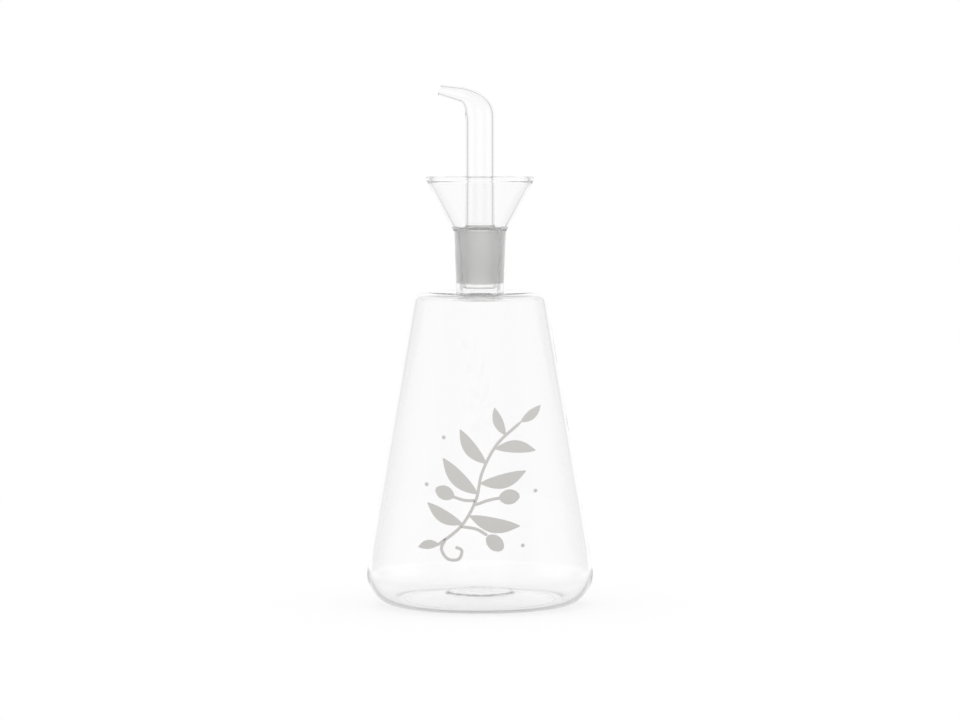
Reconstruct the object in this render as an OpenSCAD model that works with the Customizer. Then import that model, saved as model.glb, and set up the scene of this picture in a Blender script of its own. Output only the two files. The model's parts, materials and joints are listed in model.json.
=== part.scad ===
// Oil bottle in lamp-worked borosilicate glass: a conical bottle with a drip-catching funnel on its neck,
// and a hollow pouring stopper that is ground into the neck and lifts straight out.
// Origin: centre of the foot, on the table. +Z is up, and the spout pours towards -X.

/* [Body] */
// Height of the highest circle of the shoulder above the table
shoulder_h = 150; // [120:1:190]
// Radius that the straight side would reach at table height
side_base_r = 56.9; // [52:0.1:64]
// Lean of the straight side from upright, in degrees
side_angle = 9.73; // [6:0.01:11]
// Thickness of the blown wall
wall = 1.8; // [1.2:0.1:2.6]
// Radius of the rolled heel
heel_r = 14.8; // [11:0.1:18]
// Radius of the corner between side and shoulder
corner_r = 5.3; // [4:0.1:8]
// Fall of the shoulder towards the neck, in degrees
shoulder_fall = 5.1; // [2:0.1:9]

/* [Foot] */
// Width of the flat ring that stands on the table
foot_land = 2.6; // [1.5:0.1:5]
// Radius of the roll inside the foot ring
foot_roll_r = 8; // [5:0.5:12]
// Slope of the pushed-up base, in degrees
punt_slope = 8; // [6:0.5:16]
// Radius of the flat disc in the middle of the base
punt_disc_r = 16.5; // [10:0.5:22]
// Height of the ring step round that disc
punt_step = 0.9; // [0.4:0.1:1.6]

/* [Ground joint] */
// Diameter of the ground cone at its large end
joint_d = 18.8; // [16:0.1:21]
// Length of the ground zone
joint_l = 26; // [20:0.5:32]
// Taper of the ground zone, as diameter lost per length
joint_taper = 0.1; // [0.06:0.01:0.14]
// Gap between the two ground surfaces, square to them
ground_gap = 0.05; // [0.02:0.01:0.1]
// Radius of the air and drip groove
groove_r = 1.3; // [0.8:0.1:2]
// Depth of the groove in the ground cone
groove_depth = 0.9; // [0.4:0.1:1.1]

/* [Neck] */
// Height from the shoulder seam to the large end of the ground joint
neck_h = 31.3; // [29:0.1:45]
// Wall of the neck at the top of the ground joint
neck_top_wall = 2.85; // [2:0.05:4]
// Outer radius of the neck at the shoulder
neck_foot_r = 11.3; // [10.5:0.1:14]
// Radius of the fused fillet round the neck's foot
seam_r = 1; // [0.5:0.1:2]
// Height of the sloped throat between the ground joint and the funnel
throat_h = 1; // [0.6:0.1:2]
// Radius of the bend where the neck opens into the funnel
flare_r = 6; // [3:0.5:8]

/* [Funnel] */
// Height of the funnel above the ground joint
funnel_h = 25; // [16:0.5:34]
// Outer radius of the rim
rim_r = 25.8; // [21:0.1:32]
// Wall of the funnel
funnel_wall = 1.6; // [1.1:0.1:2.4]
// Diameter of the fire-polished bead on the rim
bead_d = 2.8; // [2.6:0.1:4]

/* [Stopper] */
// Wall of the hollow cone
cone_wall = 1.7; // [1.5:0.1:2.4]
// Length of the clear lower end below the ground zone
clear_end = 2.4; // [1.5:0.1:4]
// Height of the shoulder that joins the cone to the tube
cone_cap_h = 2.6; // [2.4:0.1:4]

/* [Spout] */
// Outer diameter of the pour tube
tube_d = 14; // [11:0.1:15]
// Wall of the pour tube
tube_wall = 1.3; // [1:0.1:1.8]
// Height of the straight tube above the cone's shoulder
tube_h = 49.7; // [35:0.1:70]
// Radius of the bend, on the tube's centre line
bend_r = 12; // [9:0.5:20]
// Angle through which the tube is bent
bend_angle = 78; // [50:1:90]
// Outer diameter where the bend ends
drawn_d = 7; // [5:0.1:8]
// Length of the drawn tip beyond the bend
tip_l = 10; // [6:0.5:20]
// Outer diameter of the tip
tip_d = 4.8; // [3.6:0.1:5]
// Wall of the tip
tip_wall = 0.8; // [0.6:0.05:1]
// Lean of the tip's cut back from square, in degrees
tip_cut = 8; // [0:1:20]

/* [Hidden] */

$fn = 128;
SPOUT_SIDES = 40;
BEND_STEPS = 18;
TIP_STEPS = 4;
NARROW_FROM = 0.16;
GLASS = [0.86, 0.89, 0.89, 0.45];
GROUND = [0.78, 0.78, 0.77, 0.9];
FAR = 200;

// Side of the body: its outer radius at height z, and the same line moved inwards by a wall
function side_r(z, inset = 0) = side_base_r - z * tan(side_angle) - inset / cos(side_angle);

// Centres of the arcs that round the body, each tangent to the straight side
corner_z = shoulder_h - corner_r;
corner_x = side_r(corner_z, corner_r);
heel_x = side_r(heel_r, heel_r);

// Foot ring and pushed-up base
foot_in_r = heel_x - foot_land;
punt_foot = [foot_in_r - foot_roll_r * sin(punt_slope), foot_roll_r * (1 - cos(punt_slope))];
punt_top_z = punt_foot[1] + (punt_foot[0] - punt_disc_r) * tan(punt_slope) + punt_step;

// Shoulder: its outer line falls from the corner to the neck
function shoulder_z(r, inset = 0) = corner_z + (corner_r - inset) / cos(shoulder_fall)
    - (corner_x - r) * tan(shoulder_fall);
seam_z = shoulder_z(neck_foot_r);

// Ground joint: radii of cone and socket
joint_z = seam_z + neck_h;
joint_low_z = joint_z - joint_l;
joint_angle = atan(joint_taper / 2);
function cone_r(z) = joint_d / 2 - (joint_z - z) * joint_taper / 2;
function socket_r(z) = cone_r(z) + ground_gap / cos(joint_angle);

// Funnel: its outer line runs from the bend at the top of the neck to the bead
neck_top_r = socket_r(joint_z) + neck_top_wall;
flare_z = joint_z - 1.7;
weld_z = joint_z + throat_h;
bead_x = rim_r - bead_d / 2;
bead_z = joint_z + funnel_h - bead_d / 2;
funnel_angle = atan((rim_r - neck_top_r) / (bead_z - flare_z));
function funnel_out_r(z) = neck_top_r + (z - flare_z) * tan(funnel_angle);
function funnel_in_r(z) = funnel_out_r(z) - funnel_wall / cos(funnel_angle);

// Stopper: seam between the cone's shoulder and the pour tube
tube_r = tube_d / 2;
tube_bore_r = tube_r - tube_wall;
tube_z = joint_z + cone_cap_h;
cone_end_z = joint_low_z - clear_end;
bend_z = tube_z + tube_h;

// Points along an arc round a centre, from one angle to another
function arc(centre, r, from, to, steps = 6) =
    [for (i = [0:steps]) let (a = from + (to - from) * i / steps) centre + r * [cos(a), sin(a)]];

// Points that round the corner p between its neighbours a and b
function rounded(a, p, b, r) =
    let (u = (a - p) / norm(a - p), v = (b - p) / norm(b - p), half = acos(u * v) / 2,
         centre = p + (u + v) / norm(u + v) * r / sin(half),
         start = p + u * r / tan(half) - centre, end = p + v * r / tan(half) - centre,
         from = atan2(start[1], start[0]), turn = atan2(end[1], end[0]) - from)
    arc(centre, r, from, from + (turn > 180 ? turn - 360 : turn < -180 ? turn + 360 : turn));

// A profile whose corners are given as [r, z, rounding], with 0 for a sharp one
function profile(corners) = [for (i = [0:len(corners) - 1])
    let (n = len(corners), c = corners[i], p = [c[0], c[1]],
         a = corners[(i + n - 1) % n], b = corners[(i + 1) % n])
    each c[2] == 0 ? [p] : rounded([a[0], a[1]], p, [b[0], b[1]], c[2])];

// Outline of the body, moved inwards by a wall, with its round stretches as true arcs
module body_outline(inset) {
    floor_z = inset;
    difference() {
        union() {
            polygon([
                [0, floor_z],
                [heel_x, floor_z],
                [heel_x + (heel_r - inset) * cos(side_angle), heel_r + (heel_r - inset) * sin(side_angle)],
                [corner_x + (corner_r - inset) * cos(side_angle), corner_z + (corner_r - inset) * sin(side_angle)],
                [corner_x - (corner_r - inset) * sin(shoulder_fall), corner_z + (corner_r - inset) * cos(shoulder_fall)],
                [0, shoulder_z(0, inset)]
            ]);
            translate([heel_x, heel_r]) circle(heel_r - inset);
            translate([corner_x, corner_z]) circle(corner_r - inset);
        }
        punt_outline(inset);
    }
}

// What the pushed-up base takes away from the body's outline
module punt_outline(inset) {
    roll = foot_roll_r - inset;
    foot = [foot_in_r - roll * sin(punt_slope), foot_roll_r - roll * cos(punt_slope)];
    difference() {
        polygon(profile([
            [0, -1, 0],
            [foot_in_r, -1, 0],
            [foot_in_r, foot_roll_r - roll, 0],
            [foot[0], foot[1], 0],
            [punt_disc_r, foot[1] + (foot[0] - punt_disc_r) * tan(punt_slope), punt_step * 0.4],
            [punt_disc_r - punt_step, punt_top_z + inset, punt_step * 0.6],
            [0, punt_top_z + inset, 0]
        ]));
        translate([foot_in_r, foot_roll_r]) circle(roll);
    }
}

// Blown cone with its heel, foot ring, pushed-up base, shoulder and the seat of the neck
module bottle_body() {
    color(GLASS) rotate_extrude() difference() {
        body_outline(0);
        body_outline(wall);
        translate([0, shoulder_h / 2]) square([neck_foot_r, FAR]);
    }
}

// Neck tube: ground tapered socket inside, fused foot below, sloped throat and seat of the funnel above
module neck_socket() {
    mouth_z = shoulder_z(neck_foot_r, wall);
    clear_r = socket_r(joint_low_z);
    fillet_x = neck_foot_r + seam_r;
    fillet = arc([fillet_x, shoulder_z(fillet_x) + seam_r], seam_r, 270, 180);
    color(GROUND) rotate_extrude() polygon(concat(
        [[neck_foot_r, mouth_z], [neck_foot_r, seam_z]],
        fillet,
        rounded([neck_foot_r, seam_z], [neck_top_r, flare_z], [funnel_out_r(weld_z), weld_z], flare_r),
        [[funnel_out_r(weld_z), weld_z], [funnel_in_r(weld_z), weld_z],
         [socket_r(joint_z), joint_z], [clear_r, joint_low_z]],
        rounded([clear_r, joint_low_z], [clear_r, mouth_z + 2], [clear_r + 1.4, mouth_z], 2),
        [[clear_r + 1.4, mouth_z]]
    ));
}

// Drip funnel: thin cone that stands on the neck's throat, with a bead round its rim
module drip_funnel() {
    color(GLASS) rotate_extrude() union() {
        polygon([
            [funnel_in_r(weld_z), weld_z],
            [funnel_out_r(weld_z), weld_z],
            [bead_x + bead_d / 2 * cos(funnel_angle), bead_z - bead_d / 2 * sin(funnel_angle)],
            [bead_x, bead_z],
            [funnel_in_r(bead_z - 1), bead_z - 1]
        ]);
        translate([bead_x, bead_z]) circle(bead_d / 2);
    }
}

// Hollow ground cone: its outside matches the socket, and a groove runs along the side away from the spout
module stopper_cone() {
    low_r = cone_r(joint_low_z);
    end_r = low_r - 0.1;
    lip_r = cone_wall / 2;
    top_r = cone_r(joint_z);
    cap_z = joint_z + cone_cap_h * 0.45;
    lip = [end_r - lip_r, cone_end_z + lip_r];
    color(GROUND) difference() {
        rotate_extrude() union() {
            polygon(profile([
                [end_r, lip[1], 0],
                [end_r, joint_low_z, 0],
                [low_r, joint_low_z, 0],
                [top_r, joint_z, 0.8],
                [tube_r, cap_z, 1.2],
                [tube_r, tube_z, 0],
                [tube_bore_r, tube_z, 0],
                [tube_bore_r, joint_z - 0.2, 1.2],
                [top_r - cone_wall, joint_z - 2.2, 1.2],
                [low_r - cone_wall, joint_low_z, 0],
                [end_r - cone_wall, lip[1], 0]
            ]));
            translate(lip) circle(lip_r);
        }
        translate([top_r - groove_depth + groove_r, 0, joint_z])
            rotate([0, joint_angle, 0])
                cylinder(r = groove_r, h = 2 * (joint_l + 2 * clear_end), center = true);
    }
}

// Outer radius and wall at a share of the bend: the tube narrows smoothly from NARROW_FROM to the drawn end
function narrowed(share) = (1 - cos(180 * max(0, share - NARROW_FROM) / (1 - NARROW_FROM))) / 2;
function bend_outer_r(share) = tube_r + (drawn_d / 2 - tube_r) * narrowed(share);
function bend_wall(share) = tube_wall + (tip_wall - tube_wall) * share;

// One ring round the spout: its centre, its heading from upright towards -X, and its radius
function ring(centre, heading, r) = [for (i = [0:SPOUT_SIDES - 1]) let (a = 360 * i / SPOUT_SIDES)
    centre + r * [cos(a) * cos(heading), sin(a), cos(a) * sin(heading)]];

// Stations along the spout as centre, heading, outer radius and wall: tube, bend and drawn tip
bend_end = [bend_r * (cos(bend_angle) - 1), 0, bend_z + bend_r * sin(bend_angle)];
stations = concat(
    [[[0, 0, tube_z], 0, tube_r, tube_wall]],
    [for (i = [0:BEND_STEPS]) let (share = i / BEND_STEPS, a = bend_angle * share)
        [[bend_r * (cos(a) - 1), 0, bend_z + bend_r * sin(a)], a, bend_outer_r(share), bend_wall(share)]],
    [for (i = [1:TIP_STEPS]) let (share = i / TIP_STEPS)
        [bend_end + tip_l * share * [-sin(bend_angle), 0, cos(bend_angle)],
         bend_angle - tip_cut * pow(share, 3), (drawn_d + (tip_d - drawn_d) * share) / 2, tip_wall]]
);

// Pour tube, bend and tip as one swept wall, with rings of points outside and inside
module pour_spout() {
    n = SPOUT_SIDES;
    last = len(stations) - 1;
    inner = n * (last + 1);
    outside = [for (s = stations) each ring(s[0], s[1], s[2])];
    inside = [for (s = stations) each ring(s[0], s[1], s[2] - s[3])];
    skin = [for (k = [0:last - 1], i = [0:n - 1]) let (a = k * n + i, b = k * n + (i + 1) % n)
        each [[a, a + n, b + n, b], [inner + a, inner + b, inner + b + n, inner + a + n]]];
    ends = [for (i = [0:n - 1]) let (j = (i + 1) % n, top = last * n)
        each [[i, j, inner + j, inner + i], [top + i, inner + top + i, inner + top + j, top + j]]];
    color(GLASS) polyhedron(concat(outside, inside), concat(skin, ends), convexity = 6);
}

bottle_body();
neck_socket();
drip_funnel();
stopper_cone();
pour_spout();
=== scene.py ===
# Dresses the frame of a lamp-worked oil bottle: two clear glass pieces, their ground joint and a fired sprig.

import json
import math

import bpy
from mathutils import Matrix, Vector

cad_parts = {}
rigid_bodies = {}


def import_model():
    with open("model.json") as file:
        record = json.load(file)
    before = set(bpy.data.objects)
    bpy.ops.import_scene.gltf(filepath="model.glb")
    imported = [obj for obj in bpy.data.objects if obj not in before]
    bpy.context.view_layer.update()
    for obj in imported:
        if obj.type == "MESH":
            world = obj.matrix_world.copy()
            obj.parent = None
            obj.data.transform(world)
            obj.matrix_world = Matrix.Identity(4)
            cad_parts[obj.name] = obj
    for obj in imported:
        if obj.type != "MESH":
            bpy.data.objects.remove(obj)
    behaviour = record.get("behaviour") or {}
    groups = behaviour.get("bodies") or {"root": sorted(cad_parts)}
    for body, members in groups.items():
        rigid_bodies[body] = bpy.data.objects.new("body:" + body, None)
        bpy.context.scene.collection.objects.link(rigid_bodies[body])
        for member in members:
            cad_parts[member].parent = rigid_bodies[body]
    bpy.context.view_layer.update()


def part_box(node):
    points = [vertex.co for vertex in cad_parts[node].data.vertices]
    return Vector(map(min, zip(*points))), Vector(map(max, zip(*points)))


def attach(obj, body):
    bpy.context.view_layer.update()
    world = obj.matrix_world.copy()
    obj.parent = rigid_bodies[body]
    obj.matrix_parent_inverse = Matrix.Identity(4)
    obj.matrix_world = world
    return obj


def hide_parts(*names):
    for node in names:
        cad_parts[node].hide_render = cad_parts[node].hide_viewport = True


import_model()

bl_info = {
    "name": "Oil Bottle",
    "version": (1, 0, 0),
    "blender": (4, 5, 0),
    "location": "View3D > Sidebar > Oil Bottle",
    "description": "Models a glass oil bottle with a ground pouring stopper around its packed frame",
    "category": "Add Mesh",
}

MM = 0.001

# Share of the bend after which the tube narrows, and share of the tip's wall taken off its edges
NARROW_FROM = 0.16
TIP_POLISH = 0.3
# How far the sprig's strokes start in front of the axis, before they are laid on the glass
SPRIG_Y = -80 * MM

# What glass sees of the studio, from the middle of a light panel (0) to the darkest of the gaps (1)
PANEL_STOPS = ((0.677, (1, 1, 1, 1)), (0.758, (0.88, 0.88, 0.88, 1)), (1.0, (0.6, 0.6, 0.6, 1)))
# How much darker it gets above and below, and how much more for rays thrown back inside glass
STEEP_WEIGHT, STEEP_BACK, BACK_WEIGHT = 0.9, 0.6, 0.3
WORLD_LIGHT = 0.97
# The floor: its colour, its own light, and its shade for rays thrown back that meet it steeply
FLOOR_R = 0.6
FLOOR_GREY, FLOOR_LIGHT, FLOOR_SHADE = 0.35, 0.67, 0.42
FLOOR_EDGE, FLOOR_FALL = 7.0, 8.0
CAMERA_PLACE, CAMERA_AIM = (0, -1.85, 0.218), (0, 0, 0.1172)
CAMERA_LENS, CAMERA_SENSOR = 145.3, 36.0

# The sprig on the front of the body, in millimetres right of the axis and above the table
SPRIG_LINES = (
    ((-20, 33), (-9, 42), (-2, 54), (1, 67), (8, 80), (19, 90)),
    ((-9, 42), (-2, 41), (3.5, 38)),
    ((-2, 54), (-7.5, 54.2), (-12.8, 55.8)),
    ((-2.4, 52), (4, 54.2), (9.5, 55.2)),
    ((-16, 36.3), (-18, 31.5), (-15, 27), (-10, 27), (-8.5, 31), (-11.5, 32.5)),
)
# Foot, heading in degrees, length, width and bow
SPRIG_LEAVES = (
    (-8, 43, 150, 19, 6.0, 0.08),
    (-5, 47, -12, 24, 7.0, -0.08),
    (-1, 57, 135, 23, 7.0, 0.07),
    (0, 62, 14, 22, 6.6, -0.08),
    (3, 71, 128, 20, 6.2, 0.08),
    (7, 78, -4, 19, 5.8, 0.08),
    (12, 84, 112, 14, 4.6, 0.06),
    (19, 90, 38, 12, 4.4, -0.05),
    (-19, 33.6, 190, 10, 4.2, -0.06),
)
# Middle, heading, length and width
SPRIG_FRUIT = (
    (7, 34.5, -40, 9.5, 7.0),
    (-16.5, 57.4, 158, 9.0, 6.6),
    (13.7, 55.6, 5, 9.5, 7.0),
    (26, 58, 0, 1.8, 1.8),
    (-25, 61, 0, 1.8, 1.8),
    (-17, 83, 0, 1.8, 1.8),
    (20, 33, 0, 1.8, 1.8),
)

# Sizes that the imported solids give, in metres
BODY_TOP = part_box("bottle_body")[1].z
NECK_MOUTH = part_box("neck_socket")[0].z
WELD_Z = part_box("neck_socket")[1].z
RIM_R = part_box("drip_funnel")[1].x
RIM_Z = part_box("drip_funnel")[1].z
CONE_END_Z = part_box("stopper_cone")[0].z
TUBE_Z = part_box("pour_spout")[0].z
TUBE_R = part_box("pour_spout")[1].y


# ---------------------------------------------------------------- sizes and colours

def length(label, default, about):
    """A length that a user would change, in metres."""
    return bpy.props.FloatProperty(name=label, description=about, default=default, min=0.0,
                                   subtype="DISTANCE", unit="LENGTH", precision=5)


def angle(label, degrees, about):
    """An angle that a user would change, given here in degrees."""
    return bpy.props.FloatProperty(name=label, description=about, default=math.radians(degrees),
                                   subtype="ANGLE", unit="ROTATION")


def colour(label, default, about):
    """A colour that a user would change."""
    return bpy.props.FloatVectorProperty(name=label, description=about, default=default, size=3,
                                         min=0.0, max=1.0, subtype="COLOR")


class BottleSizes(bpy.types.PropertyGroup):
    """Sizes of the blown body, the neck and the funnel"""
    side_base_r: length("Side at the table", 56.9 * MM, "Radius that the straight side would reach at table height")
    side_angle: angle("Side lean", 9.73, "Lean of the straight side from upright")
    wall: length("Wall", 1.8 * MM, "Thickness of the blown wall")
    heel_r: length("Heel", 14.8 * MM, "Radius of the rolled heel")
    gather_r: length("Gather", 13.6 * MM, "Radius of the inside of the heel, where the glass gathers")
    corner_r: length("Corner", 5.3 * MM, "Radius between side and shoulder")
    shoulder_fall: angle("Shoulder fall", 5.1, "Fall of the shoulder towards the neck")
    foot_land: length("Foot ring", 2.6 * MM, "Width of the flat ring that stands on the table")
    foot_roll_r: length("Foot roll", 8 * MM, "Radius of the roll inside the foot ring")
    punt_slope: angle("Base slope", 8, "Slope of the pushed-up base")
    punt_disc_r: length("Base disc", 16.5 * MM, "Radius of the flat disc in the middle of the base")
    punt_step: length("Base step", 0.9 * MM, "Height of the ring step round that disc")
    neck_foot_r: length("Neck at its foot", 11.3 * MM, "Outer radius of the neck at the shoulder")
    neck_top_wall: length("Neck wall", 2.85 * MM, "Wall of the neck at the top of the ground joint")
    seam_r: length("Seam", 1 * MM, "Radius of the fused fillet round the neck's foot")
    throat_h: length("Throat", 1 * MM, "Height of the slope between ground joint and funnel")
    flare_r: length("Flare", 6 * MM, "Radius where the neck opens into the funnel")
    funnel_wall: length("Funnel wall", 1.6 * MM, "Wall of the funnel")
    bead_d: length("Rim bead", 2.8 * MM, "Diameter of the fire-polished bead")
    bead_lap: angle("Bead lap", 20, "How far the bead rolls on, past its innermost point")
    bead_root: length("Bead root", 1 * MM, "Depth below the bead's middle at which the funnel's inside begins")
    bead_root_r: length("Bead root radius", 0.8 * MM, "Radius between the bead and the funnel's inside")
    step_round: bpy.props.FloatProperty(name="Step rounding", default=0.6,
                                        description="Radii of the base's ring step, as a share of its height")
    neck_turn: length("Neck turn", 1.7 * MM, "Depth below the ground joint's top at which the neck turns out")
    throat_r: length("Throat radius", 1.2 * MM, "Radius between the funnel's inside and the throat")
    mouth_out: length("Mouth width", 1.4 * MM, "How far the neck's bore widens where it enters the body")
    mouth_h: length("Mouth height", 2 * MM, "Height over which the bore widens")
    mouth_turn_r: length("Mouth turn", 2 * MM, "Radius where the bore starts to widen")
    mouth_lip_r: length("Mouth lip", 0.9 * MM, "Radius between the mouth and the inside of the shoulder")
    mouth_land: length("Mouth land", 1.5 * MM, "How far outside the neck's foot the even wall begins")
    turns: bpy.props.IntProperty(name="Lathe steps", description="Steps of each turned shape", default=160, min=24)


class JointSizes(bpy.types.PropertyGroup):
    """Sizes of the ground joint between neck and stopper"""
    large_d: length("Large end", 18.8 * MM, "Diameter of the ground cone at its large end")
    ground_l: length("Ground length", 26 * MM, "Length of the ground zone")
    taper: bpy.props.FloatProperty(name="Taper", description="Diameter lost per length", default=0.1)
    gap: length("Gap", 0.05 * MM, "Gap between the two ground surfaces")
    groove_r: length("Groove radius", 1.3 * MM, "Radius of the air and drip groove")
    groove_depth: length("Groove depth", 0.9 * MM, "Depth of the groove in the ground cone")


class StopperSizes(bpy.types.PropertyGroup):
    """Sizes of the hollow stopper and its pour tube"""
    cone_wall: length("Cone wall", 1.7 * MM, "Wall of the hollow cone")
    tube_wall: length("Tube wall", 1.3 * MM, "Wall of the pour tube")
    tube_h: length("Straight tube", 49.7 * MM, "Height of the straight tube above the cone's shoulder")
    bend_r: length("Bend", 12 * MM, "Radius of the bend on the centre line")
    bend_angle: angle("Bend angle", 78, "Angle through which the tube is bent")
    drawn_d: length("Drawn end", 7 * MM, "Outer diameter where the bend ends")
    tip_l: length("Tip", 10 * MM, "Length of the drawn tip")
    tip_d: length("Tip end", 4.8 * MM, "Outer diameter of the tip")
    tip_wall: length("Tip wall", 0.8 * MM, "Wall of the tip")
    tip_cut: angle("Tip cut", 8, "Lean of the tip's cut back from square")
    cap_share: bpy.props.FloatProperty(name="Cap edge", default=0.45,
                                       description="Height of the cap's edge, as a share of the cap's height")
    root_drop: length("Tube root", 0.2 * MM, "Depth below the ground top at which the tube's bore ends")
    roof_drop: length("Cone roof", 2.2 * MM, "Depth below the ground top at which the cone's bore begins")
    inner_r: length("Inner turns", 1.2 * MM, "Radius of the turns between the two bores")
    edge_r: length("Cap edge radius", 0.8 * MM, "Radius of the cap's outer edge")
    cap_r: length("Cap root", 1.2 * MM, "Radius between the cap and the tube")
    end_step: length("End step", 0.1 * MM, "How much slimmer the clear end is than the ground zone")
    end_run: length("End run", 0.25 * MM, "Height over which it gets slimmer")
    bend_steps: bpy.props.IntProperty(name="Bend steps", description="Rings along the bend", default=30, min=8)
    tip_steps: bpy.props.IntProperty(name="Tip steps", description="Rings along the tip", default=10, min=2)


class EnamelSizes(bpy.types.PropertyGroup):
    """Sizes of the print fired on the body"""
    line: length("Line", 1.4 * MM, "Width of the drawn lines")
    thickness: length("Thickness", 0.08 * MM, "Thickness of the fired enamel")
    lift: length("Lift", 0.015 * MM, "How far each layer of strokes lies above the one below it")
    across: bpy.props.IntProperty(name="Steps across", description="Faces across each stroke", default=4, min=2)


class Finishes(bpy.types.PropertyGroup):
    """Colours of glass, ground surfaces and enamel"""
    glass: colour("Glass", (0.998, 0.999, 0.998), "Clear borosilicate glass")
    ground: colour("Ground glass", (1.0, 1.0, 0.99), "Ground surface of the joint")
    enamel: colour("Enamel", (0.76, 0.755, 0.745), "Fired print on the body")


# ---------------------------------------------------------------- outlines as points of radius and height

def arc(centre, radius, start, end, steps=6):
    """Points along an arc round a centre, from one angle to another, in degrees."""
    angles = [math.radians(start + (end - start) * i / steps) for i in range(steps + 1)]
    return [(centre[0] + radius * math.cos(a), centre[1] + radius * math.sin(a)) for a in angles]


def rounded(before, corner, after, radius, steps=6):
    """Points that round a corner between its neighbours."""
    before, corner, after = Vector(before), Vector(corner), Vector(after)
    u, v = (before - corner).normalized(), (after - corner).normalized()
    half = u.angle(v) / 2
    centre = corner + (u + v).normalized() * radius / math.sin(half)
    start = corner + u * radius / math.tan(half) - centre
    end = corner + v * radius / math.tan(half) - centre
    turn = math.degrees(math.atan2(start.x * end.y - start.y * end.x, start.dot(end)))
    first = math.degrees(math.atan2(start.y, start.x))
    return arc(centre, radius, first, first + turn, steps)


def stretch(a, b, steps):
    """Evenly spaced points between two points, without the ends."""
    return [(a[0] + (b[0] - a[0]) * i / steps, a[1] + (b[1] - a[1]) * i / steps) for i in range(1, steps)]


class JointLines:
    """Radii and heights of the ground joint, shared by neck and stopper."""

    def __init__(self, joint, bottle):
        self.top_z = WELD_Z - bottle.throat_h
        self.low_z = self.top_z - joint.ground_l
        self.lean = math.atan(joint.taper / 2)
        self.joint = joint

    def cone_r(self, z):
        return self.joint.large_d / 2 - (self.top_z - z) * self.joint.taper / 2

    def socket_r(self, z):
        return self.cone_r(z) + self.joint.gap / math.cos(self.lean)


def body_side(size, inset, floor):
    """The body's outline from the middle of its base out to the shoulder, moved inwards by inset."""
    lean, fall, slope = (math.degrees(a) for a in (size.side_angle, size.shoulder_fall, size.punt_slope))

    def side_r(z, r):
        return size.side_base_r - z * math.tan(size.side_angle) - r / math.cos(size.side_angle)

    corner_z = BODY_TOP - size.corner_r
    corner_x, heel_x = side_r(corner_z, size.corner_r), side_r(size.heel_r, size.heel_r)
    foot_x = heel_x - size.foot_land
    roll = size.foot_roll_r - inset
    inner_foot = (foot_x - roll * math.sin(size.punt_slope), size.foot_roll_r - roll * math.cos(size.punt_slope))
    step_foot = (size.punt_disc_r,
                 inner_foot[1] + (inner_foot[0] - size.punt_disc_r) * math.tan(size.punt_slope))
    step_top = (size.punt_disc_r - size.punt_step, floor)
    step_r = size.punt_step * size.step_round
    corner = arc((corner_x, corner_z), size.corner_r - inset, lean, 90 + fall, 14)
    if inset:
        heel = rounded(step_foot, inner_heel(size, inset, inner_foot), corner[0], size.gather_r, 28)
    else:
        heel = (arc((foot_x, roll), roll, 270 - slope, 270, 6)
                + arc((heel_x, size.heel_r), size.heel_r, 270, 360 + lean, 22))
    return (
        [(0, floor)] + stretch((0, floor), step_top, 5)
        + rounded((0, floor), step_top, step_foot, step_r, 5)
        + rounded(step_top, step_foot, inner_foot, step_r, 5)
        + stretch(step_foot, heel[0], 6) + heel + stretch(heel[-1], corner[0], 16) + corner
    )


def inner_heel(size, inset, foot):
    """Where the inside of the base, drawn on past the foot, meets the inside of the wall."""
    lean, slope = math.tan(size.side_angle), math.tan(size.punt_slope)
    wall_r = size.side_base_r - inset / math.cos(size.side_angle)
    x = (wall_r - lean * (foot[1] + foot[0] * slope)) / (1 - lean * slope)
    return x, foot[1] - (x - foot[0]) * slope


def shoulder_z(size, r, inset=0.0):
    """Height of the shoulder's surface at a radius."""
    corner_z = BODY_TOP - size.corner_r
    side_x = size.side_base_r - corner_z * math.tan(size.side_angle)
    corner_x = side_x - size.corner_r / math.cos(size.side_angle)
    return (corner_z + (size.corner_r - inset) / math.cos(size.shoulder_fall)
            - (corner_x - r) * math.tan(size.shoulder_fall))


def punt_top(size):
    """Height of the middle of the base above the table."""
    lift = size.foot_roll_r * (1 - math.cos(size.punt_slope))
    heel_x = size.side_base_r - size.heel_r * (math.tan(size.side_angle) + 1 / math.cos(size.side_angle))
    foot_x = heel_x - size.foot_land - size.foot_roll_r * math.sin(size.punt_slope)
    return lift + (foot_x - size.punt_disc_r) * math.tan(size.punt_slope) + size.punt_step


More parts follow.
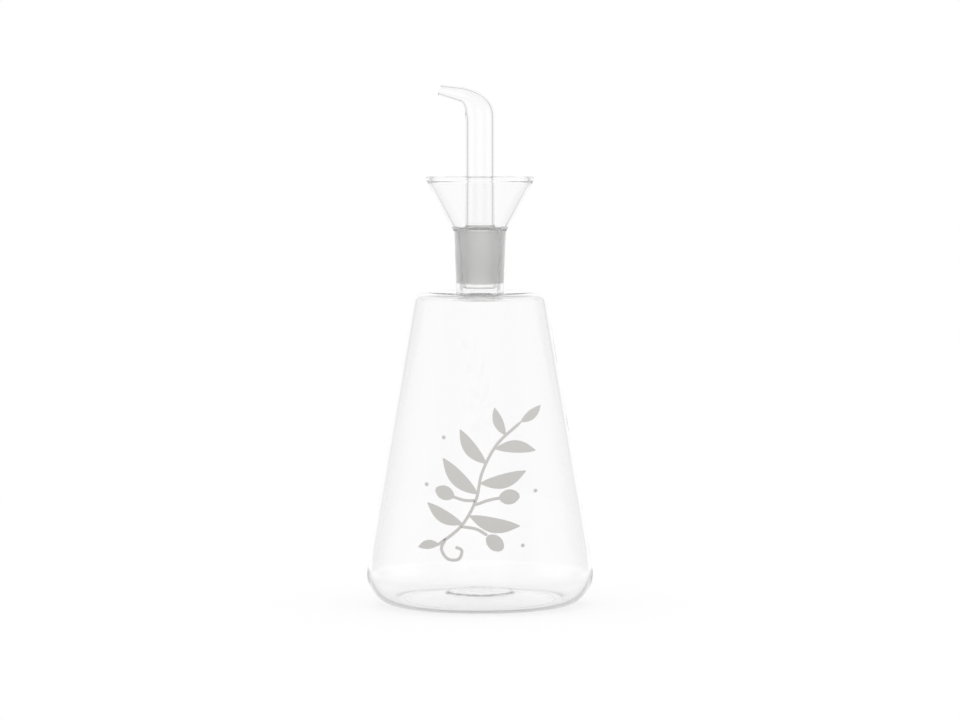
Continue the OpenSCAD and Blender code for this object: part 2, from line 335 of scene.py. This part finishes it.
def bottle_outline(size, lines):
    """Outside of the bottle from its base up to the rim, then its inside from the rim down to the floor."""
    outer = body_side(size, 0.0, punt_top(size))
    inner = body_side(size, size.wall, punt_top(size) + size.wall)
    fillet_x = size.neck_foot_r + size.seam_r
    fillet = arc((fillet_x, shoulder_z(size, fillet_x) + size.seam_r), size.seam_r, 270, 180, 8)
    neck_top = (lines.socket_r(lines.top_z) + size.neck_top_wall, lines.top_z - size.neck_turn)
    bead = (RIM_R - size.bead_d / 2, RIM_Z - size.bead_d / 2)
    lean = math.atan((RIM_R - neck_top[0]) / (bead[1] - neck_top[1]))
    across = size.funnel_wall / math.cos(lean)

    def funnel_r(z):
        return neck_top[0] + (z - neck_top[1]) * math.tan(lean)

    deg = math.degrees(lean)
    outer_bead = arc(bead, size.bead_d / 2, -deg, 180 + math.degrees(size.bead_lap), 18)
    root_z = bead[1] - size.bead_root
    inner_end = (funnel_r(root_z) - across, root_z)
    flare = rounded((size.neck_foot_r, shoulder_z(size, size.neck_foot_r)), neck_top,
                    (funnel_r(RIM_Z), RIM_Z), size.flare_r, 8)
    throat = (funnel_r(WELD_Z) - across, WELD_Z)
    socket_top = (lines.socket_r(lines.top_z), lines.top_z)
    clear_r = lines.socket_r(lines.low_z)
    mouth = (clear_r + size.mouth_out, NECK_MOUTH)
    mouth_turn = (clear_r, NECK_MOUTH + size.mouth_h)
    land_r = size.neck_foot_r + size.mouth_land
    inner_shoulder = (land_r, shoulder_z(size, land_r, size.wall))
    return (
        outer + stretch(outer[-1], fillet[0], 6) + fillet
        + stretch(fillet[-1], flare[0], 6) + flare + stretch(flare[-1], outer_bead[0], 8)
        + outer_bead
        + rounded(outer_bead[-1], inner_end, throat, size.bead_root_r, 4)
        + stretch(inner_end, throat, 8)
        + rounded(inner_end, throat, socket_top, size.throat_r, 5)
        + [socket_top] + stretch(socket_top, (clear_r, lines.low_z), 8) + [(clear_r, lines.low_z)]
        + rounded((clear_r, lines.low_z), mouth_turn, mouth, size.mouth_turn_r, 6)
        + rounded(mouth_turn, mouth, inner_shoulder, size.mouth_lip_r, 6)
        + [inner_shoulder] + stretch(inner_shoulder, inner[-1], 6) + inner[::-1]
    )


def stopper_outline(size, lines):
    """Inside of the stopper from the start of the bend down to the lip, then its outside back up."""
    low_r, top_r = lines.cone_r(lines.low_z), lines.cone_r(lines.top_z)
    end_r = low_r - size.end_step
    lip_r = size.cone_wall / 2
    lip = (end_r - lip_r, CONE_END_Z + lip_r)
    bend_z = TUBE_Z + size.tube_h
    bore_r = TUBE_R - size.tube_wall
    cap_z = lines.top_z + (TUBE_Z - lines.top_z) * size.cap_share
    tube_foot = (bore_r, lines.top_z - size.root_drop)
    cone_roof = (top_r - size.cone_wall, lines.top_z - size.roof_drop)
    bore_low = (low_r - size.cone_wall, lines.low_z)
    start = (bore_r, bend_z)
    return (
        [start] + stretch(start, tube_foot, 10)
        + rounded(start, tube_foot, cone_roof, size.inner_r)
        + rounded(tube_foot, cone_roof, bore_low, size.inner_r)
        + stretch(cone_roof, bore_low, 6) + [bore_low]
        + arc(lip, lip_r, 180, 360, 12)
        + [(end_r, lines.low_z - size.end_run), (low_r, lines.low_z)]
        + stretch((low_r, lines.low_z), (top_r, lines.top_z), 8)
        + rounded((low_r, lines.low_z), (top_r, lines.top_z), (TUBE_R, cap_z), size.edge_r)
        + rounded((top_r, lines.top_z), (TUBE_R, cap_z), (TUBE_R, bend_z), size.cap_r)
        + stretch((TUBE_R, cap_z), (TUBE_R, bend_z), 10)[1:] + [(TUBE_R, bend_z)]
    )


# ---------------------------------------------------------------- modelling steps

def start_vertex(name, place):
    """A new mesh in edit mode that is one selected vertex, merged from a small plane."""
    bpy.ops.object.select_all(action="DESELECT")
    bpy.ops.mesh.primitive_plane_add(size=MM, location=place)
    piece = bpy.context.object
    piece.name = piece.data.name = name
    bpy.ops.object.transform_apply(location=True, rotation=True, scale=True)
    bpy.ops.object.mode_set(mode="EDIT")
    bpy.ops.mesh.select_mode(type="VERT")
    bpy.ops.mesh.select_all(action="SELECT")
    bpy.ops.mesh.merge(type="CENTER")
    return piece


def turned(name, outline, steps):
    """A turned shape: one vertex extruded along the outline, then spun round the axis. Stays in edit mode."""
    piece = start_vertex(name, (outline[0][0], 0, outline[0][1]))
    for a, b in zip(outline, outline[1:]):
        bpy.ops.mesh.extrude_vertices_move(TRANSFORM_OT_translate={"value": (b[0] - a[0], 0, b[1] - a[1])})
    bpy.ops.mesh.select_all(action="SELECT")
    bpy.ops.mesh.spin(steps=steps, angle=math.tau, center=(0, 0, 0), axis=(0, 0, 1), use_auto_merge=True)
    bpy.ops.mesh.select_all(action="SELECT")
    bpy.ops.mesh.remove_doubles(threshold=2e-6)
    bpy.ops.mesh.normals_make_consistent(inside=False)
    return piece


def select_ring(piece, low_r, high_r, z, near=1e-6):
    """Selects the edges of a ring at height z whose radius lies between two values."""
    bpy.ops.mesh.select_all(action="DESELECT")
    bpy.ops.object.mode_set(mode="OBJECT")
    for v in piece.data.vertices:
        v.select = abs(v.co.z - z) < near and low_r <= math.hypot(v.co.x, v.co.y) <= high_r
    bpy.ops.object.mode_set(mode="EDIT")
    bpy.ops.mesh.select_mode(type="VERT")


def smooth(piece, degrees=40):
    """Leaves edit mode and shades the piece smooth, with edges over an angle kept sharp."""
    bpy.ops.object.mode_set(mode="OBJECT")
    bpy.ops.object.shade_smooth_by_angle(angle=math.radians(degrees))


def paint_faces(piece, material, test):
    """Gives a piece one more material, on the faces whose centre and normal pass a test."""
    piece.data.materials.append(material)
    index = len(piece.data.materials) - 1
    for face in piece.data.polygons:
        if test(face.center, face.normal):
            face.material_index = index


# ---------------------------------------------------------------- materials

class Value:
    """A number, vector or colour socket. Arithmetic on it adds Math nodes."""

    def __init__(self, tree, socket):
        self.tree, self.socket = tree, socket

    def math(self, operation, *others):
        node = self.tree.node("ShaderNodeMath", {"operation": operation}, dict(enumerate((self, *others))))
        return node.value()

    def __add__(self, other):
        return self.math("ADD", other)

    def __mul__(self, other):
        return self.math("MULTIPLY", other)

    def __sub__(self, other):
        return self.math("SUBTRACT", other)

    def __rsub__(self, other):
        return self.tree.node("ShaderNodeMath", {"operation": "SUBTRACT"}, {0: other, 1: self}).value()

    def __truediv__(self, other):
        return self.math("DIVIDE", other)

    __radd__, __rmul__ = __add__, __mul__


class Made:
    """A node that was added, with its outputs as values."""

    def __init__(self, tree, node):
        self.tree, self.node = tree, node

    def value(self, output=0):
        return Value(self.tree, self.node.outputs[output])


class Tree:
    """A node tree under construction."""

    def __init__(self, data):
        data.use_nodes = True
        self.data = data
        self.nodes, self.links = data.node_tree.nodes, data.node_tree.links
        self.nodes.clear()

    def node(self, kind, settings=None, sockets=None):
        """Adds a node, sets it up, then fills its sockets with numbers, colours or links."""
        node = self.nodes.new(kind)
        for key, setting in (settings or {}).items():
            if key == "stops":
                self.set_stops(node.color_ramp, setting)
            else:
                setattr(node, key, setting)
        for key, content in (sockets or {}).items():
            if isinstance(content, Value):
                self.links.new(content.socket, node.inputs[key])
            else:
                node.inputs[key].default_value = content
        return Made(self, node)

    @staticmethod
    def set_stops(ramp, stops):
        while len(ramp.elements) < len(stops):
            ramp.elements.new(0.5)
        for element, (position, shade) in zip(ramp.elements, stops):
            element.position, element.color = position, shade

    def place(self, scale=1.0):
        """The point on the object in its own coordinates."""
        coordinates = self.node("ShaderNodeTexCoord").value("Object")
        return self.node("ShaderNodeMapping", None, {"Vector": coordinates, "Scale": (scale,) * 3}).value()

    def noise(self, where, size, detail=2.0, roughness=0.5):
        """Noise from 0 to 1 with features of a size in metres."""
        return self.node("ShaderNodeTexNoise", None, {
            "Vector": where, "Scale": 1 / size, "Detail": detail, "Roughness": roughness}).value(0)

    def mix_colour(self, factor, a, b):
        mix = self.node("ShaderNodeMix", {"data_type": "RGBA"}, {0: factor, 6: a, 7: b})
        return mix.value(2)

    def bump(self, height, distance, strength=1.0):
        return self.node("ShaderNodeBump", None, {
            "Height": height, "Distance": distance, "Strength": strength}).value()

    def output(self, surface, kind="ShaderNodeOutputMaterial"):
        return self.node(kind, None, {"Surface": surface})


def rgba(shade):
    return (*shade, 1.0)


def clear_glass(name, finishes, mark_r=0.0):
    """Polished borosilicate with the faint swells of hand work, and rippled where the gather was cut off."""
    tree = Tree(bpy.data.materials.new(name))
    where = tree.place()
    part = tree.node("ShaderNodeSeparateXYZ", None, {0: where})
    off_axis = part.value(0) * part.value(0) + part.value(1) * part.value(1)
    on_mark = off_axis.math("LESS_THAN", mark_r ** 2) * part.value(2).math("LESS_THAN", mark_r)
    ripple = tree.noise(where, 3 * MM, 2.0) * on_mark
    swell = tree.noise(where, 12 * MM, 1.0) + ripple * 5.0
    glass = tree.node("ShaderNodeBsdfPrincipled", None, {
        "Base Color": rgba(finishes.glass),
        "Roughness": 0.0, "IOR": 1.47, "Transmission Weight": 1.0, "Normal": tree.bump(swell, 0.02 * MM)})
    passing = tree.node("ShaderNodeBsdfTransparent", None, {"Color": (0.98, 0.98, 0.98, 1.0)})
    shadow = tree.node("ShaderNodeLightPath").value("Is Shadow Ray")
    surface = tree.node("ShaderNodeMixShader", None, {0: shadow, 1: glass.value(), 2: passing.value()})
    inside = tree.node("ShaderNodeVolumeAbsorption", None, {"Color": (0.8, 0.81, 0.805, 1), "Density": 5.0})
    tree.node("ShaderNodeOutputMaterial", None, {"Surface": surface.value(), "Volume": inside.value()})
    return tree.data


def ground_glass(finishes):
    """Glass ground dull with fine grit."""
    tree = Tree(bpy.data.materials.new("ground_joint"))
    where = tree.place()
    grit, cloud = tree.noise(where, 0.12 * MM, 3.0, 0.7), tree.noise(where, 6 * MM, 2.0)
    darker = tuple(c * 0.93 for c in finishes.ground)
    tree.output(tree.node("ShaderNodeBsdfPrincipled", None, {
        "Base Color": tree.mix_colour(cloud, rgba(finishes.ground), rgba(darker)),
        "Roughness": 0.42 + grit * 0.2, "IOR": 1.47, "Transmission Weight": 0.85,
        "Normal": tree.bump(grit, 0.01 * MM)}).value())
    return tree.data


def fired_enamel(finishes):
    """Pale enamel fired on the glass, a little mottled."""
    tree = Tree(bpy.data.materials.new("fired_enamel"))
    where = tree.place()
    mottle, grain = tree.noise(where, 4 * MM, 3.0), tree.noise(where, 0.25 * MM, 2.0)
    warmer = (finishes.enamel[0] * 1.02, finishes.enamel[1] * 0.99, finishes.enamel[2] * 0.95)
    tree.output(tree.node("ShaderNodeBsdfPrincipled", None, {
        "Base Color": tree.mix_colour(mottle, rgba(finishes.enamel), rgba(warmer)),
        "Roughness": 0.5 + grain * 0.15, "Normal": tree.bump(grain, 0.01 * MM)}).value())
    return tree.data


# ---------------------------------------------------------------- operators

def finish_piece(piece, body, nodes):
    """Parents a finished piece to the body it rides on and hides the solids it stands for."""
    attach(piece, body)
    if nodes:
        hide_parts(*nodes)


class OILBOTTLE_OT_bottle(bpy.types.Operator):
    """Blow the bottle: body, neck, ground socket and funnel as one piece of glass"""
    bl_idname = "oilbottle.bottle"
    bl_label = "Bottle Glass"

    def execute(self, context):
        settings = context.scene.oil_bottle
        size, lines = settings.bottle, JointLines(settings.joint, settings.bottle)
        piece = turned("bottle_glass", bottle_outline(size, lines), size.turns)
        smooth(piece)
        piece.data.materials.append(clear_glass("blown_glass", settings.finishes, size.punt_disc_r))
        beyond_bore = 0.2 * MM
        bore_r = lines.socket_r(lines.top_z) + beyond_bore

        def is_ground(centre, normal):
            return lines.low_z < centre.z < lines.top_z and math.hypot(centre.x, centre.y) < bore_r

        paint_faces(piece, ground_glass(settings.finishes), is_ground)
        finish_piece(piece, "bottle", ("bottle_body", "neck_socket", "drip_funnel"))
        return {"FINISHED"}


class OILBOTTLE_OT_stopper(bpy.types.Operator):
    """Draw the stopper: hollow ground cone, pour tube, bend and tip as one piece of glass"""
    bl_idname = "oilbottle.stopper"
    bl_label = "Stopper Glass"

    def execute(self, context):
        settings = context.scene.oil_bottle
        size, lines = settings.stopper, JointLines(settings.joint, settings.bottle)
        piece = turned("stopper_glass", stopper_outline(size, lines), settings.bottle.turns // 2)
        stations = self.stations(size)
        self.draw_out(piece, stations, [r - wall for _, _, r, wall in stations])
        self.draw_out(piece, stations, [r for _, _, r, wall in stations])
        bpy.ops.mesh.select_all(action="DESELECT")
        bpy.ops.mesh.select_mode(type="EDGE")
        bpy.ops.mesh.select_non_manifold(extend=False, use_wire=False, use_multi_face=False,
                                         use_non_contiguous=False, use_verts=False)
        bpy.ops.mesh.bridge_edge_loops()
        bpy.ops.mesh.region_to_loop()
        bpy.ops.mesh.bevel(offset=size.tip_wall * TIP_POLISH, segments=3, affect="EDGES")
        bpy.ops.mesh.select_all(action="SELECT")
        bpy.ops.mesh.normals_make_consistent(inside=False)
        smooth(piece)
        piece.data.materials.append(clear_glass("drawn_glass", settings.finishes))
        clear_rim, near = 0.5 * MM, 0.1 * MM

        def is_ground(centre, normal):
            r = math.hypot(centre.x, centre.y)
            return lines.low_z < centre.z < lines.top_z - clear_rim and abs(r - lines.cone_r(centre.z)) < near

        paint_faces(piece, bpy.data.materials["ground_joint"], is_ground)
        self.cut_groove(piece, settings.joint, lines)
        finish_piece(piece, "stopper", ("stopper_cone", "pour_spout"))
        return {"FINISHED"}

    @staticmethod
    def cut_groove(piece, joint, lines):
        """Cuts the air and drip groove down the side of the cone that faces away from the spout."""
        bpy.ops.mesh.primitive_cylinder_add(
            vertices=64, radius=joint.groove_r, depth=joint.ground_l * 3,
            location=(lines.cone_r(lines.top_z) - joint.groove_depth + joint.groove_r, 0, lines.top_z),
            rotation=(0, lines.lean, 0))
        cutter = bpy.context.object
        cutter.data.materials.append(piece.data.materials[0])
        cut = piece.modifiers.new("groove", "BOOLEAN")
        cut.operation, cut.solver, cut.object = "DIFFERENCE", "EXACT", cutter
        bpy.context.view_layer.objects.active = piece
        bpy.ops.object.modifier_apply(modifier=cut.name)
        bpy.data.objects.remove(cutter)
        bpy.ops.object.select_all(action="DESELECT")
        piece.select_set(True)
        bpy.ops.object.shade_smooth_by_angle(angle=math.radians(35))

    @staticmethod
    def stations(size):
        """Centre, tilt, outer radius and wall at each ring from the start of the bend to the tip."""
        bend_z = TUBE_Z + size.tube_h
        rings = [(Vector((0, 0, bend_z)), 0.0, TUBE_R, size.tube_wall)]
        for i in range(1, size.bend_steps + 1):
            share = i / size.bend_steps
            turn = size.bend_angle * share
            eased = (1 - math.cos(math.pi * max(0, share - NARROW_FROM) / (1 - NARROW_FROM))) / 2
            centre = Vector((math.cos(turn) - 1, 0, math.sin(turn))) * size.bend_r + Vector((0, 0, bend_z))
            rings.append((centre, turn, TUBE_R + (size.drawn_d / 2 - TUBE_R) * eased,
                          size.tube_wall + (size.tip_wall - size.tube_wall) * share))
        bend_end = rings[-1][0]
        heading = Vector((-math.sin(size.bend_angle), 0, math.cos(size.bend_angle)))
        for i in range(1, size.tip_steps + 1):
            share = i / size.tip_steps
            tilt = size.bend_angle - size.tip_cut * share ** 3
            radius = (size.drawn_d + (size.tip_d - size.drawn_d) * share) / 2
            rings.append((bend_end + heading * size.tip_l * share, tilt, radius, size.tip_wall))
        return rings

    @staticmethod
    def draw_out(piece, stations, radii):
        """Extrudes one open ring from station to station, to a new radius at each."""
        select_ring(piece, radii[0] - 0.1 * MM, radii[0] + 0.1 * MM, stations[0][0].z)
        for i in range(1, len(stations)):
            (before, last_tilt), (centre, tilt) = stations[i - 1][:2], stations[i][:2]
            bpy.ops.mesh.extrude_region_move(TRANSFORM_OT_translate={"value": centre - before})
            bpy.ops.transform.rotate(value=tilt - last_tilt, orient_axis="Y", center_override=centre)
            bpy.ops.transform.resize(value=(radii[i] / radii[i - 1],) * 3, center_override=centre)


class OILBOTTLE_OT_sprig(bpy.types.Operator):
    """Print the sprig: leaves, olives and tendrils of fired enamel on the front of the body"""
    bl_idname = "oilbottle.sprig"
    bl_label = "Enamel Sprig"

    def execute(self, context):
        settings = context.scene.oil_bottle
        size = settings.enamel
        layers = [self.printed(f"sprig_{kind}", strokes, size, size.lift * (level + 1))
                  for level, (kind, strokes) in enumerate(self.strokes(size).items())]
        bpy.ops.object.select_all(action="DESELECT")
        for layer in layers:
            layer.select_set(True)
        bpy.context.view_layer.objects.active = layers[0]
        bpy.ops.object.join()
        piece = layers[0]
        piece.name = piece.data.name = "enamel_sprig"
        bpy.ops.object.shade_smooth_by_angle(angle=math.radians(40))
        piece.data.materials.append(fired_enamel(settings.finishes))
        finish_piece(piece, "bottle", ())
        return {"FINISHED"}

    def printed(self, name, strokes, size, lift):
        """One layer of strokes, projected on the front of the glass and given the enamel's thickness."""
        piece = start_vertex(name, (0, SPRIG_Y, 0))
        bpy.ops.mesh.delete(type="VERT")
        for path, widths in strokes:
            self.stroke(path, widths, size.across)
        bpy.ops.mesh.select_all(action="SELECT")
        bpy.ops.mesh.normals_make_consistent(inside=False)
        bpy.ops.object.mode_set(mode="OBJECT")
        wrap = piece.modifiers.new("wrap", "SHRINKWRAP")
        wrap.target = bpy.data.objects["bottle_glass"]
        wrap.wrap_method, wrap.wrap_mode, wrap.offset = "PROJECT", "OUTSIDE_SURFACE", lift
        wrap.use_project_y, wrap.use_positive_direction, wrap.use_negative_direction = True, True, False
        bpy.ops.object.modifier_apply(modifier=wrap.name)
        raise_up = piece.modifiers.new("raise", "SOLIDIFY")
        raise_up.thickness, raise_up.offset = size.thickness, 1.0
        bpy.ops.object.modifier_apply(modifier=raise_up.name)
        return piece

    @staticmethod
    def strokes(size):
        """The brush strokes of each layer, from the lowest layer up, as paths and widths in metres."""
        def curve(points, steps):
            """A smooth path through control points."""
            points = [Vector((x * MM, SPRIG_Y, z * MM)) for x, z in points]
            points = [points[0] * 2 - points[1], *points, points[-1] * 2 - points[-2]]
            path = []
            for i in range(1, len(points) - 2):
                a, b, c, d = points[i - 1:i + 3]
                for k in range(steps):
                    t = k / steps
                    path.append((b * 2 + (c - a) * t + (a * 2 - b * 5 + c * 4 - d) * t ** 2
                                 + (b * 3 - a - c * 3 + d) * t ** 3) / 2)
            return path + [points[-2]]

        def shaped(path, width, fullness):
            """Widths that swell from nothing to the full width and back."""
            last = len(path) - 1
            return [width * max(0.06, math.sin(math.pi * i / last)) ** fullness for i in range(last + 1)]

        def even(path, width):
            """Widths of a round-ended line."""
            last = len(path) - 1
            return [width * (0.55 if i in (0, last) else 1.0) for i in range(last + 1)]

        layers = {"fruit": [], "leaves": [], "lines": []}
        for x, z, heading, long, wide in SPRIG_FRUIT:
            along = Vector((math.cos(math.radians(heading)), math.sin(math.radians(heading)))) * long / 2
            path = curve([(x - along.x, z - along.y), (x, z), (x + along.x, z + along.y)], 9)
            layers["fruit"].append((path, shaped(path, wide * MM, 0.5)))
        for x, z, heading, long, wide, bow in SPRIG_LEAVES:
            along = Vector((math.cos(math.radians(heading)), math.sin(math.radians(heading))))
            side = Vector((-along.y, along.x)) * bow * long
            ends = [(x, z), (x + along.x * long / 2 + side.x, z + along.y * long / 2 + side.y),
                    (x + along.x * long, z + along.y * long)]
            path = curve(ends, 10)
            layers["leaves"].append((path, shaped(path, wide * MM, 0.8)))
        for points in SPRIG_LINES:
            path = curve(points, 8)
            layers["lines"].append((path, even(path, size.line)))
        return layers

    @staticmethod
    def stroke(path, widths, across):
        """Extrudes a line of vertices along a path, turned across it and resized to its width at each step."""
        def heading(i):
            step = path[min(i + 1, len(path) - 1)] - path[max(i - 1, 0)]
            return math.atan2(step.z, step.x)

        bpy.ops.mesh.primitive_plane_add(size=MM, location=path[0])
        bpy.ops.mesh.merge(type="CENTER")
        turn = heading(0)
        side = Vector((-math.sin(turn), 0, math.cos(turn))) * widths[0]
        bpy.ops.transform.translate(value=side * -0.5)
        for _ in range(across):
            bpy.ops.mesh.extrude_vertices_move(TRANSFORM_OT_translate={"value": side / across})
        bpy.ops.mesh.select_linked()
        for i in range(1, len(path)):
            bpy.ops.mesh.extrude_region_move(TRANSFORM_OT_translate={"value": path[i] - path[i - 1]})
            swing = math.remainder(heading(i) - heading(i - 1), math.tau)
            bpy.ops.transform.rotate(value=swing, orient_axis="Y", center_override=path[i])
            bpy.ops.transform.resize(value=(widths[i] / widths[i - 1],) * 3, center_override=path[i])


class OILBOTTLE_OT_stage(bpy.types.Operator):
    """Set the stage: pale floor, soft light and the camera"""
    bl_idname = "oilbottle.stage"
    bl_label = "Stage"

    def execute(self, context):
        scene = context.scene
        self.floor()
        self.world(scene)
        self.camera(scene)
        scene.view_settings.view_transform = "Standard"
        scene.cycles.max_bounces = 32
        scene.cycles.glossy_bounces = scene.cycles.transmission_bounces = 32
        return {"FINISHED"}

    @staticmethod
    def seen(tree):
        """1 for rays that show the background, straight or through glass or in a reflection."""
        path = tree.node("ShaderNodeLightPath")
        kinds = path.value("Is Camera Ray") + path.value("Is Glossy Ray") + path.value("Is Transmission Ray")
        return kinds.math("MINIMUM", 1.0)

    @staticmethod
    def turned_back(tree):
        """1 for rays that were thrown back inside glass on their way."""
        path = tree.node("ShaderNodeLightPath")
        return path.value("Is Transmission Ray") * path.value("Glossy Depth").math("MINIMUM", 1.0)

    def floor(self):
        """A pale floor that keeps the object's shadow, and is darker to rays thrown back inside glass."""
        bpy.ops.object.select_all(action="DESELECT")
        bpy.ops.mesh.primitive_circle_add(vertices=96, radius=FLOOR_R, fill_type="NGON", location=(0, 0, 0))
        floor = bpy.context.object
        floor.name = "floor"
        tree = Tree(bpy.data.materials.new("pale_floor"))
        diffuse = tree.node("ShaderNodeBsdfDiffuse", None, {"Color": rgba((FLOOR_GREY,) * 3)})
        flat = tree.node("ShaderNodeLayerWeight", None, {"Blend": 0.5}).value("Facing")
        steep = (FLOOR_EDGE - flat * FLOOR_FALL).math("MINIMUM", 1.0).math("MAXIMUM", 0.0)
        shade = tree.mix_colour(self.turned_back(tree) * steep, (1, 1, 1, 1), rgba((FLOOR_SHADE,) * 3))
        lift = tree.node("ShaderNodeEmission", None, {"Color": shade, "Strength": self.seen(tree) * FLOOR_LIGHT})
        tree.output(tree.node("ShaderNodeAddShader", None, {0: diffuse.value(), 1: lift.value()}).value())
        floor.data.materials.append(tree.data)

    def world(self, scene):
        """Soft white all round. Between its four wide light panels, glass sees darker strips of studio."""
        world = bpy.data.worlds.new("soft_studio")
        scene.world = world
        tree = Tree(world)
        heading = tree.node("ShaderNodeTexCoord").value("Generated")
        part = tree.node("ShaderNodeSeparateXYZ", None, {0: heading})
        x, y = part.value(0), part.value(1)
        diagonal = (x * y * 2.0).math("ABSOLUTE") / (x * x + y * y + 0.02)
        back = self.turned_back(tree)
        steep = part.value(2).math("ABSOLUTE") * (back * STEEP_BACK + STEEP_WEIGHT)
        depth = (diagonal.math("MAXIMUM", steep) + back * BACK_WEIGHT) / (1 + BACK_WEIGHT)
        strips = tree.node("ShaderNodeValToRGB", {"stops": PANEL_STOPS}, {0: depth}).value()
        through = tree.node("ShaderNodeLightPath").value("Is Transmission Ray")
        shade = tree.mix_colour(through, (1, 1, 1, 1), strips)
        shown = tree.node("ShaderNodeBackground", None, {"Color": shade, "Strength": 1.0})
        soft = tree.node("ShaderNodeBackground", None, {"Color": (1, 1, 1, 1), "Strength": WORLD_LIGHT})
        mix = tree.node("ShaderNodeMixShader", None, {0: self.seen(tree), 1: soft.value(), 2: shown.value()})
        tree.output(mix.value(), "ShaderNodeOutputWorld")

    @staticmethod
    def camera(scene):
        data = bpy.data.cameras.new("camera")
        camera = bpy.data.objects.new("camera", data)
        scene.collection.objects.link(camera)
        data.lens, data.sensor_width = CAMERA_LENS, CAMERA_SENSOR
        data.clip_start, data.clip_end = 0.1, 20.0
        camera.location = CAMERA_PLACE
        camera.rotation_euler = (Vector(CAMERA_AIM) - camera.location).to_track_quat("-Z", "Y").to_euler()
        scene.camera = camera


class OILBOTTLE_PT_panel(bpy.types.Panel):
    """Sidebar panel with the steps of the oil bottle"""
    bl_idname = "OILBOTTLE_PT_panel"
    bl_label = "Oil Bottle"
    bl_space_type = "VIEW_3D"
    bl_region_type = "UI"
    bl_category = "Oil Bottle"

    def draw(self, context):
        for operator in STEPS:
            self.layout.operator(operator.bl_idname)
        settings = context.scene.oil_bottle
        for group in (settings.bottle, settings.joint, settings.stopper, settings.enamel, settings.finishes):
            box = self.layout.box()
            for key in group.__annotations__:
                box.prop(group, key)


class OilBottle(bpy.types.PropertyGroup):
    """All settings of the oil bottle"""
    bottle: bpy.props.PointerProperty(type=BottleSizes)
    joint: bpy.props.PointerProperty(type=JointSizes)
    stopper: bpy.props.PointerProperty(type=StopperSizes)
    enamel: bpy.props.PointerProperty(type=EnamelSizes)
    finishes: bpy.props.PointerProperty(type=Finishes)


STEPS = (OILBOTTLE_OT_stage, OILBOTTLE_OT_bottle, OILBOTTLE_OT_stopper, OILBOTTLE_OT_sprig)
GROUPS = (BottleSizes, JointSizes, StopperSizes, EnamelSizes, Finishes, OilBottle)
CLASSES = (*GROUPS, *STEPS, OILBOTTLE_PT_panel)


def register():
    for cls in CLASSES:
        bpy.utils.register_class(cls)
    bpy.types.Scene.oil_bottle = bpy.props.PointerProperty(type=OilBottle)


def unregister():
    del bpy.types.Scene.oil_bottle
    for cls in reversed(CLASSES):
        bpy.utils.unregister_class(cls)


def main():
    register()
    bpy.ops.oilbottle.stage()
    bpy.ops.oilbottle.bottle()
    bpy.ops.oilbottle.stopper()
    bpy.ops.oilbottle.sprig()


if __name__ == "__main__":
    main()
